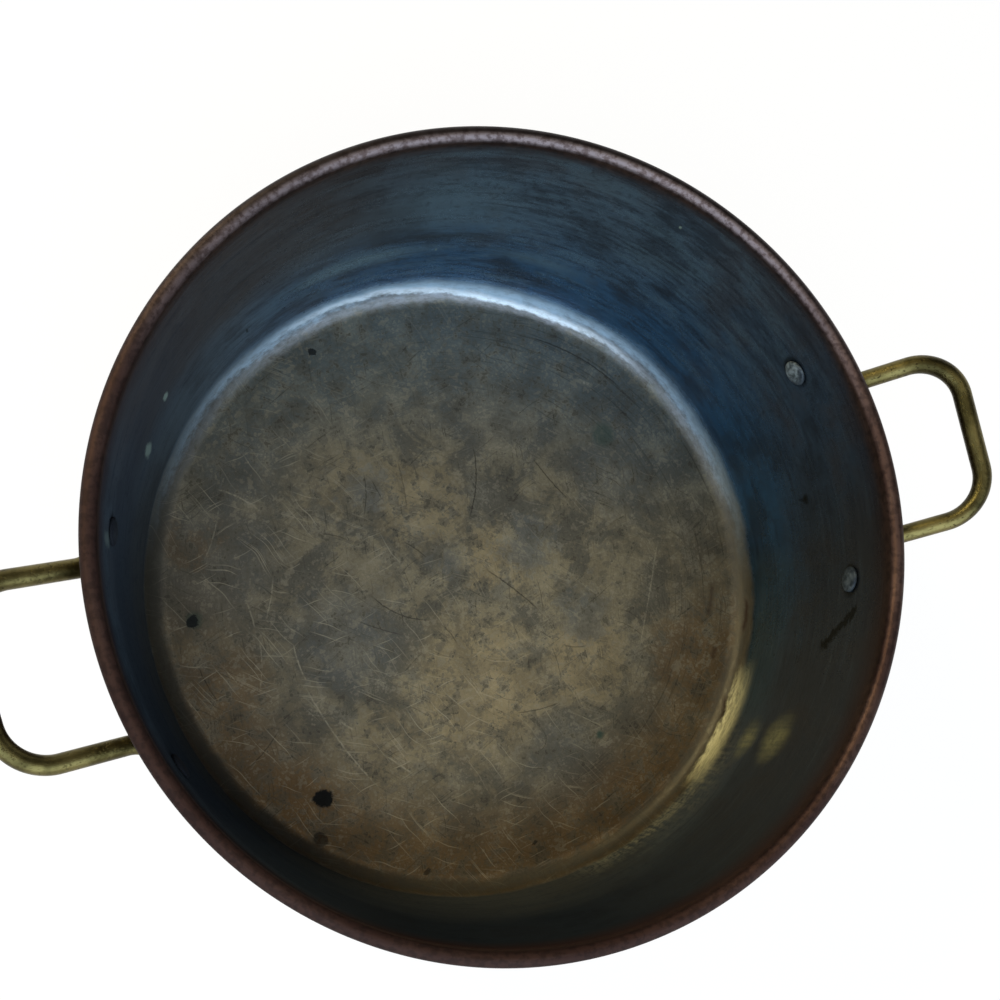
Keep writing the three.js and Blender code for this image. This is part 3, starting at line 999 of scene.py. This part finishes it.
def wall_colour(finish, place, round_x, round_y, height, shade_side, band, lathe, fine):
    """Blue low down on one side, slate above it, and painted shade in dark blue on the side away from the
    window, with clouds, drips and flecks, painted reflections and sheen, and painted lamp highlights.
    """
    cloud = finish.noise(place, 22, 5, 0.65)
    wavy = height + (band - 0.5) * (40 * MM)
    blue_side = towards(finish, round_x, round_y, BLUE_SIDE)
    right_side = towards(finish, round_x, round_y, RIGHT_SIDE)
    colour = finish.mix(right_side * 0.8, WALL_SLATE, WALL_STEEL)
    colour = finish.mix(blue_side * finish.smooth(wavy, 0.02, 0.09, 1.0, 0.15), colour, WALL_BLUE)
    colour = finish.mix(finish.smooth(cloud, 0.48, 0.66) * 0.6, colour, WALL_DEEP)
    brown = finish.smooth(cloud - height * 1.2, 0.27, 0.42, 1.0, 0.0)
    colour = finish.mix(brown * 0.4, colour, WALL_BROWN)
    broken = (fine - 0.5) * 1.2
    drawn = drawn_out(finish, round_x, round_y, height, WALL_GRAIN)
    top_side = towards(finish, round_x, round_y, TOP_SIDE)
    streaked = (cloud - 0.5) * 1.5 + (drawn - 0.5) * 2.0
    # Painted sheen: paler streaks on the side that faces the window.
    colour = finish.mix(finish.smooth(drawn, 0.5, 0.6) * top_side * 0.3, colour, WALL_PALE_SHEEN)
    colour = finish.mix(finish.smooth(drawn, 0.4, 0.5, 0.4, 0.0) * (0.3 + top_side), colour, WALL_DEEP)
    # Painted reflection and sheen in pale bands.
    colour = finish.mix(marks(finish, place, wall_glow, PALE_REFLECTION_BANDS, streaked), colour, WALL_PALE_SHEEN)
    colour = finish.mix(marks(finish, place, wall_glow, DARK_BANDS, streaked), colour, WALL_DEEP)
    browned = towards(finish, round_x, round_y, BROWN_SIDE) * finish.smooth(height, 0.04, 0.08)
    colour = finish.mix(browned * 0.8, colour, WALL_BROWN)
    # Painted light: the top of the wall on the left stays paler, where the window's light comes over the rim.
    left_side = side(round_x, round_y, PHOTO_LEFT)
    top_light = finish.smooth(height + left_side * (38 * MM), 0.128, 0.142)
    top_light = top_light * finish.smooth(left_side, 0.2, 0.5)
    # Painted shade: the side away from the window is dark blue, paler to the left, with a painted glow low
    # down.
    unlit = finish.mix(towards(finish, round_x, round_y, PALE_SHADE_SIDE), WALL_SHADE, WALL_SHADE_LEFT)
    unlit = finish.mix(finish.smooth(wavy, 0.015, 0.085, 0.8, 0.0), unlit, WALL_LOW_GLOW)
    colour = finish.mix(shade_side * (0.94 - top_light * 0.25), colour, unlit)
    umber = towards(finish, round_x, round_y, UMBER_SIDE)
    umber = umber * finish.smooth(wavy, 0.03, 0.08)
    colour = finish.mix(umber * 0.65, colour, WALL_UMBER)
    teal = towards(finish, round_x, round_y, TEAL_SIDE)
    teal = teal * finish.smooth(wavy, 0.02, 0.07, 0.6, 0.0)
    colour = finish.mix(teal, colour, WALL_TEAL)
    colour = finish.mix(finish.smooth(lathe, 0.52, 0.75) * (1 - shade_side) * 0.2, colour, WALL_SLATE)
    colour = finish.mix(finish.smooth(lathe, 0.34, 0.47, 1.0, 0.0) * 0.4, colour, WALL_DEEP)
    colour = finish.mix(finish.smooth(fine, 0.34, 0.46, 1.0, 0.0) * 0.35, colour, WALL_DEEP)
    beige = towards(finish, round_x, round_y, BEIGE_SIDE)
    beige = beige * finish.smooth(wavy, 0.012, 0.04, 1.0, 0.0)
    streaks = drawn_out(finish, round_x, round_y, height, STREAK_GRAIN)
    speckled = finish.smooth(streaks + (fine - 0.5) * 0.8, 0.32, 0.72)
    colour = finish.mix(beige * speckled * 0.85, colour, WALL_BEIGE)
    # Painted reflections of the warm lamp.
    lamp_reflection = marks(finish, place, wall_glow, LAMP_REFLECTION_SPOTS, broken * 0.5 + (cloud - 0.5) * 1.5)
    colour = finish.mix(lamp_reflection * (0.45 + 0.55 * speckled), colour, LAMP_REFLECTION_YELLOW)
    colour = finish.mix(marks(finish, place, wall_mark, WALL_STAINS, broken * 1.5), colour, SOOT)
    colour = finish.mix(marks(finish, place, wall_streak, WALL_DRIPS, broken * 3.0), colour, SOOT)
    return finish.mix(marks(finish, place, wall_mark, WALL_FLECKS, broken), colour, PALE_GREEN)


# Rings of the corner, in millimetres of way past the floor: from where to where each sets in, and ends
# Worn tin with a painted highlight on it, bright only on the side that faces the window.
WORN_HIGHLIGHT_RING = ((0, 5), (8, 16))
# A painted blue reflection over the top of the corner.
BLUE_HIGHLIGHT_RING = ((5.5, 9.5), (9.5, 21))
# The painted bright core of that highlight.
CORE_HIGHLIGHT_RING = ((7.8, 9.4), (10.0, 12.5))
# A painted highlight of the warm lamp.
LAMP_RING = ((9, 12), (17, 29))
WALL_SETS_IN = (10, 17)

# Round the start of the bead, in millimetres of way: where the tin ends, and where it turns red before that
TIN_ENDS = (-6, 1)
RED_SETS_IN = (-18, 0)

# Round a rivet, in millimetres from its middle: the dark ring on the wall round its head, and the head's own
# dark edge
RIVET_DARK_RING = (5.2, 7.5)
RIVET_EDGE = (3.4, 5.0)


def past(finish, way, start, limits, low=0.0, high=1.0):
    """From low to high as the way passes between two limits, in millimetres past a start."""
    return finish.smooth(way, start + limits[0] * MM, start + limits[1] * MM, low, high)


def over(finish, way, rise, fall):
    """A mask that rises over one stretch of the way and falls over another, in millimetres past the floor."""
    return past(finish, way, FLOOR_END, rise) * past(finish, way, FLOOR_END, fall, 1.0, 0.0)


def over_bead(finish, way):
    """A mask for the outer half of the bead, from just inside its top round to the end of the curl."""
    top = finish.smooth(way, BEAD_TOP - 1.3 * MM, BEAD_TOP + 0.3 * MM)
    return top * finish.smooth(way, CURL_TIP - MM, CURL_TIP, 1.0, 0.0)


def from_rivet(finish, y, height):
    """How far a place of the wall is from the nearest rivet's middle, seen along X."""
    return finish.distance(finish.vector(abs(y), height, 0.0), (RIVET_SPACING / 2, RIVET_HEIGHT, 0))


def pan_finish():
    """Tin inside, dark with age, brown copper on the rim and outside, with painted highlights and reflections
    on the corner and wall, painted shade on the side away from the window, and painted shade and sheen on the
    bead.
    """
    finish = Finish(bpy.data.materials.new("pan_tin_and_copper"))
    place = finish.place()
    x, y, height = finish.parts(place)
    way = finish.attribute("way")
    radius = finish.distance(finish.vector(x, y, 0.0), (0, 0, 0)).most(1e-4)
    round_x, round_y = x / radius, y / radius
    fine = finish.noise(place, 420, 3, 0.6)
    lathe = drawn_out(finish, round_x, round_y, way, LATHE_GRAIN)
    band = drawn_out(finish, round_x, round_y, way, BROAD_GRAIN)
    brushed = drawn_out(finish, round_x, round_y, way, BRUSHED_GRAIN)

    floor, burnt = worn_floor(finish, place, x, y, radius, fine)
    shade_side = towards(finish, round_x, round_y, SHADE_SIDE)
    wall = wall_colour(finish, place, round_x, round_y, height, shade_side, band, lathe, fine)
    head_gap = from_rivet(finish, y, height)
    # Darker round each rivet head on the wall, more so at the right-hand rivets.
    dark_round_heads = past(finish, head_gap, 0, RIVET_DARK_RING, 0.75, 0.0) * finish.smooth(round_x, -0.5, 0.5, 0.2, 1.0)
    wall = finish.mix(dark_round_heads, wall, SOOT)
    age = finish.noise(place, 24, 4, 0.65)
    edge = way + (brushed - 0.5) * (5 * MM) + (age - 0.5) * (12 * MM)
    on_wall_share = past(finish, edge, FLOOR_END, WALL_SETS_IN)
    up_side = side(round_x, round_y, PHOTO_UP)
    # Painted highlight: the corner's worn tin is made bright only on the side that faces the window.
    right_of_up = towards(finish, round_x, round_y, RING_BRIGHT_SIDE, 0.55, 1.0)
    shining = finish.smooth(up_side, 0.1, 0.95) * right_of_up * (0.5 + 0.6 * finish.smooth(band, 0.35, 0.6))
    fillet = over(finish, edge, *WORN_HIGHLIGHT_RING)
    worn_tin_and_highlight = fillet * finish.smooth(brushed, 0.3, 0.64, 0.3, 0.8) * shining
    # Painted shade: the corner is darkened on the sides away from the lit one.
    ring_shade = fillet * (1 - shining).most(0.0) * (1 - burnt) * 0.8
    # Painted reflection: a blue band over the top of the corner, on the side that faces the window.
    blue = over(finish, edge + (band - 0.5) * (8 * MM), *BLUE_HIGHLIGHT_RING) * finish.smooth(up_side, 0.0, 1.0)
    blue = blue * finish.smooth(brushed, 0.3, 0.62, 0.55, 1.0)
    inside = finish.mix(on_wall_share, floor, wall)
    inside = finish.mix(ring_shade, inside, FILLET_SHADE)
    inside = finish.mix(worn_tin_and_highlight * (1 - burnt), inside, WORN_TIN_HIGHLIGHT)
    inside = finish.mix(blue * (0.4 + 0.35 * right_of_up), inside, BLUE_HIGHLIGHT)
    # Painted highlight: a bright core in the corner, strongest on the side that faces the window.
    inner_way = towards(finish, round_x, round_y, RING_INNER_SIDE) * (4 * MM)
    sharp_edge = way + inner_way + (brushed - 0.5) * (3 * MM) + (age - 0.5) * (8 * MM)
    highlight_core = over(finish, sharp_edge, *CORE_HIGHLIGHT_RING) * finish.smooth(up_side, 0.72, 1.0)
    inside = finish.mix(highlight_core * finish.smooth(brushed, 0.3, 0.6, 0.4, 0.9), inside, CORE_HIGHLIGHT)
    # Painted highlight of the warm lamp along the corner on its side.
    lamp_highlight = over(finish, edge, *LAMP_RING)
    lamp_highlight = lamp_highlight * towards(finish, round_x, round_y, RING_LAMP_SIDE)
    lamp_highlight = lamp_highlight * finish.smooth(brushed, 0.34, 0.6, 0.35, 1.0)
    inside = finish.mix(lamp_highlight, inside, LAMP_HIGHLIGHT)

    copper = finish.mix(finish.smooth(age, 0.25, 0.7), COPPER_DARK, COPPER_BROWN)
    copper = finish.mix(finish.smooth(lathe, 0.5, 0.75) * 0.24, copper, COPPER_ROSE)
    on_bead = finish.smooth(way, CURL_TIP, CURL_TIP + MM, 1.0, 0.0)
    # Painted shade on the bead's copper on the side away from the window.
    copper = finish.mix(shade_side * 0.7 * on_bead, copper, COPPER_DARK)
    copper = finish.mix(finish.smooth(fine, 0.4, 0.55, 0.45, 0.0) * on_bead, copper, RIM_BLACK)
    # Rubbed tin on the inner top of the bead, with a painted sheen that shows only on the side that faces the
    # window.
    rubbed_tin_and_sheen = finish.smooth(way, BEAD_START, BEAD_START + 1.5 * MM) * on_bead
    rubbed_tin_and_sheen = rubbed_tin_and_sheen * finish.smooth(up_side, 0.3, 1.0, 0.0, 0.8)
    copper = finish.mix(rubbed_tin_and_sheen * finish.smooth(fine, 0.35, 0.6, 0.3, 1.0), copper, RIM_GREY)
    # Painted shade: the bead's outer half is near black on the side that faces the window.
    outer_half_shade = over_bead(finish, way) * finish.smooth(up_side, 0.2, 0.95, 0.15, 0.9)
    copper = finish.mix(outer_half_shade, copper, RIM_BLACK)
    rim_edge = way + (band - 0.5) * (8 * MM) + (fine - 0.5) * (2 * MM)
    tinned = past(finish, rim_edge, BEAD_START, TIN_ENDS, 1.0, 0.0)
    reddened = past(finish, rim_edge, BEAD_START, RED_SETS_IN, 0.0, 0.75)
    inside = finish.mix(reddened * finish.smooth(up_side, -0.2, 0.7, 1.0, 0.4), inside, RIM_RED)
    colour = finish.mix(tinned, copper, inside)

    rough_floor = 0.45 + (fine - 0.5) * 0.3
    rough_wall = 0.26 + (band - 0.5) * 0.12 + (fine - 0.5) * 0.1
    rough = rough_floor + (rough_wall - rough_floor + shade_side * 0.2) * on_wall_share
    rough = rough + (1 - tinned) * 0.2 + burnt * 0.25
    metal_floor = 0.6 - burnt * 0.6
    metal_wall = 0.75 - shade_side * 0.65
    metal = metal_floor + (metal_wall - metal_floor) * on_wall_share
    metal = metal - blue * 0.5 - (ring_shade + lamp_highlight) * 0.4 - worn_tin_and_highlight * 0.3
    metal = metal.most(0.0) * tinned + (1 - tinned) * 0.85

    normal = finish.bump(lathe, 0.08 * MM, finish.bump(fine, 0.12 * MM))
    both = {"Base Color": colour, "Normal": normal}
    looks = {**both, "Metallic": metal, "Roughness": rough, "Specular IOR Level": 0.2}
    matte = {**both, "Roughness": 0.9, "Specular IOR Level": 0.0}
    return finish.surface(looks, matte, shade_side * on_wall_share * tinned)


def brass_finish():
    """Drawn brass, olive with age and finely pitted, with painted shade on the faces inside the loop."""
    finish = Finish(bpy.data.materials.new("aged_brass"))
    place = finish.place()
    x, y, _ = finish.parts(place)
    # Painted shade on the faces inside the loop, strongest along the grip.
    loop_side = (abs(x) - GRIP_REACH).most(abs(y) - ARM_SPACING / 2)
    inner_shade = finish.smooth(loop_side, -2.5 * MM, 1 * MM, 0.8, 0.0)
    inner_shade = inner_shade * finish.smooth(abs(x), 163 * MM, 178 * MM, 0.3, 1.0)
    age = finish.noise(place, 70, 5, 0.65)
    fine = finish.noise(place, 520, 3, 0.6)
    colour = finish.mix(finish.smooth(age, 0.36, 0.64), BRASS_DARK, BRASS_OLIVE)
    pits = finish.smooth(finish.noise(place, 900, 2, 0.6), 0.56, 0.7)
    stained = finish.smooth(finish.noise(place, 45, 3, 0.6), 0.42, 0.62)
    colour = finish.mix(inner_shade * (0.5 + 0.5 * stained), colour, BRASS_INNER_SHADE)
    colour = finish.mix(pits * (0.3 + 0.7 * stained), colour, BRASS_PIT)
    return finish.surface({
        "Base Color": colour,
        "Metallic": 1.0,
        "Roughness": 0.38 + (fine - 0.5) * 0.2 + pits * 0.15,
        "Normal": finish.bump(fine - pits * 0.6, 0.1 * MM),
    })


def rivet_finish():
    """Tin on the head inside the pan, brown copper on the head outside."""
    finish = Finish(bpy.data.materials.new("rivet_tin_and_copper"))
    place = finish.place()
    x, y, height = finish.parts(place)
    radius = finish.distance(finish.vector(x, y, 0.0), (0, 0, 0))
    outside = finish.smooth(radius, wall_inner(RIVET_HEIGHT), wall_outer(RIVET_HEIGHT))
    age = finish.noise(place, 380, 4, 0.7)
    tin = finish.mix(finish.smooth(age, 0.36, 0.62), RIVET_GREY, RIVET_TIN)
    head_gap = from_rivet(finish, y, height)
    tin = finish.mix(past(finish, head_gap, 0, RIVET_EDGE) * 0.7, tin, WALL_DEEP)
    tin = finish.mix(finish.smooth(y, -0.03, 0.03, 0.55, 0.0), tin, WALL_DEEP)
    # Painted shade on the tin heads of the left-hand rivets, which lie on the side away from the window.
    unlit = finish.smooth(x, -0.05, 0.05, 1.0, 0.0) * (1 - outside)
    tin = finish.mix(unlit * 0.95, tin, WALL_SHADE)
    copper = finish.mix(finish.smooth(age, 0.3, 0.7), RIVET_UMBER, RIVET_COPPER)
    fine = finish.noise(place, 700, 3, 0.6)
    return finish.surface({
        "Base Color": finish.mix(outside, tin, copper),
        "Specular IOR Level": 0.1,
        "Metallic": 0.55 - unlit * 0.55,
        "Roughness": 0.55 + (fine - 0.5) * 0.25 + unlit * 0.35,
        "Normal": finish.bump(fine, 0.12 * MM),
    })


def iron_finish():
    """Drawn iron wire, dark with a little rust."""
    finish = Finish(bpy.data.materials.new("rim_iron"))
    place = finish.place()
    rust = finish.smooth(finish.noise(place, 180, 4, 0.65), 0.45, 0.62)
    return finish.surface({
        "Base Color": finish.mix(rust, WIRE_GREY, WIRE_RUST),
        "Metallic": 0.85 - rust * 0.6,
        "Roughness": 0.5 + rust * 0.3,
    })


def put(piece, material, node):
    """A finished piece that stands for its CAD node and rides with it."""
    piece.data.materials.clear()
    piece.data.materials.append(material)
    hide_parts(node)
    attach(piece, "root")


def build_object():
    """Every visual piece with its finish, and the wire's own CAD mesh with iron on it."""
    put(pan_shell(), pan_finish(), "pan_body")
    brass = brass_finish()
    put(handle("handle_loop_right", 0.0), brass, "handle_right")
    put(handle("handle_loop_left", math.pi), brass, "handle_left")
    tinned = rivet_finish()
    for name in RIVET_TURNS:
        put(rivet(name), tinned, name)
    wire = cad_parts["rim_wire"]
    wire.data.materials.clear()
    wire.data.materials.append(iron_finish())


# The studio: a white floor and low white walls, a dim ceiling, a cool window at one side, a small warm lamp
# and a soft box straight above. Directions are in degrees, distances and sizes in metres, power in watts.
STAGE_REACH = 6.0
STAGE_DROP = 0.2 * MM
STAGE_WHITE = (0.92, 0.92, 0.92, 1)
FLOOR_GLOW = 0.92
GLOW_FADE = (0.4, 1.6)
WHITE_WALL_TOP = 12
DIM_FROM = 30
CEILING = 0.2
CEILING_FAR = 0.05
WINDOW = {"azimuth": -106, "elevation": 47, "distance": 1.25, "size": (2.2, 1.25), "power": 30,
          "colour": (0.74, 0.88, 1.0)}
LAMP = {"azimuth": 124, "elevation": 42, "distance": 1.3, "size": (0.5, 0.25), "power": 12,
        "colour": (1.0, 0.86, 0.5)}
OVERHEAD = {"azimuth": 0, "elevation": 88, "distance": 1.5, "size": (1.2, 1.2), "power": 4.5,
            "colour": (1.0, 0.93, 0.8)}


def seen_rays(finish):
    """Two masks: the rays of the camera, and those that a mirror or glass sends on."""
    camera = finish.node("ShaderNodeLightPath", out="Is Camera Ray")
    mirror = finish.other(camera, "Is Glossy Ray").most(finish.other(camera, "Is Transmission Ray"))
    return camera, mirror


def stage_finish():
    """A white floor: what the camera and mirrors see is mostly glow, so it stays white and keeps a shadow."""
    finish = Finish(bpy.data.materials.new("stage_white"))
    camera, mirror = seen_rays(finish)
    seen = camera.most(mirror)
    glow_share = finish.smooth(finish.distance(finish.place(), (0, 0, 0)), *GLOW_FADE, FLOOR_GLOW, 1.0)
    plain = finish.node("ShaderNodeBsdfDiffuse", sockets={"Color": STAGE_WHITE})
    glow = finish.node("ShaderNodeEmission", sockets={"Color": (1, 1, 1, 1), "Strength": 1.0})
    mixed = finish.node("ShaderNodeMixShader", sockets={0: seen * glow_share, 1: plain, 2: glow})
    finish.node("ShaderNodeOutputMaterial", sockets={"Surface": mixed})
    return finish.holder


def build_stage():
    """A square white floor, wide enough to fill the picture from above."""
    corners = [(x * STAGE_REACH, y * STAGE_REACH, 0) for x, y in ((-1, -1), (1, -1), (1, 1), (-1, 1))]
    mesh = bpy.data.meshes.new("stage_floor")
    mesh.from_pydata(corners, [], [(0, 1, 2, 3)])
    mesh.materials.append(stage_finish())
    floor = bpy.data.objects.new("stage_floor", mesh)
    floor.location.z = -STAGE_DROP
    bpy.context.scene.collection.objects.link(floor)


def build_world():
    """White to the camera, a low white wall to mirrors, and a dim ceiling, dimmest away from the window."""
    world = bpy.data.worlds.new("studio")
    bpy.context.scene.world = world
    finish = Finish(world)
    direction = finish.node("ShaderNodeTexCoord", out="Generated")
    _, _, up = finish.parts(direction)
    turn = math.radians(WINDOW["azimuth"])
    facing = finish.vectors("DOT_PRODUCT", direction, (math.cos(turn), math.sin(turn), 0), "Value")
    ceiling = finish.smooth(facing, -0.7, 0.7, CEILING_FAR, CEILING)
    camera, mirror = seen_rays(finish)
    white_top, dim_from = (math.sin(math.radians(rise)) for rise in (WHITE_WALL_TOP, DIM_FROM))
    walls = finish.smooth(up, white_top, dim_from, 1.0, 0.0)
    level = ceiling.most(walls * mirror).most(camera)
    background = finish.node("ShaderNodeBackground", sockets={"Color": (1, 1, 1, 1), "Strength": level})
    finish.node("ShaderNodeOutputWorld", sockets={"Surface": background})


def softbox(name, azimuth, elevation, distance, size, power, colour):
    """An area lamp that faces the pan from a direction, unseen by the camera."""
    light = bpy.data.lights.new(name, "AREA")
    light.shape = "RECTANGLE"
    light.size, light.size_y = size
    light.energy = power
    light.color = colour
    lamp = bpy.data.objects.new(name, light)
    turn, rise = math.radians(azimuth), math.radians(elevation)
    level = math.cos(rise)
    place = Vector((math.cos(turn) * level, math.sin(turn) * level, math.sin(rise))) * distance
    lamp.location = place
    lamp.rotation_euler = place.to_track_quat("Z", "Y").to_euler()
    lamp.visible_camera = False
    bpy.context.scene.collection.objects.link(lamp)


def build_camera():
    """The photograph's camera: its axis meets the picture below the middle, which takes a vertical shift."""
    camera = bpy.data.cameras.new("camera")
    camera.sensor_width = SENSOR
    camera.lens = SENSOR * FOCUS_PIXELS / IMAGE_PIXELS
    camera.shift_y = (AXIS_PIXEL[1] - IMAGE_PIXELS / 2) / IMAGE_PIXELS
    holder = bpy.data.objects.new("camera", camera)
    back = -SIGHT.normalized()
    up = back.cross(IMAGE_RIGHT).normalized()
    right = up.cross(back)
    turn = Matrix((right, up, back)).transposed().to_4x4()
    holder.matrix_world = Matrix.Translation(EYE) @ turn
    bpy.context.scene.collection.objects.link(holder)
    bpy.context.scene.camera = holder


bpy.context.scene.view_settings.view_transform = "Standard"
build_camera()
build_object()
build_stage()
build_world()
softbox("cool_window", **WINDOW)
softbox("warm_lamp", **LAMP)
softbox("overhead", **OVERHEAD)
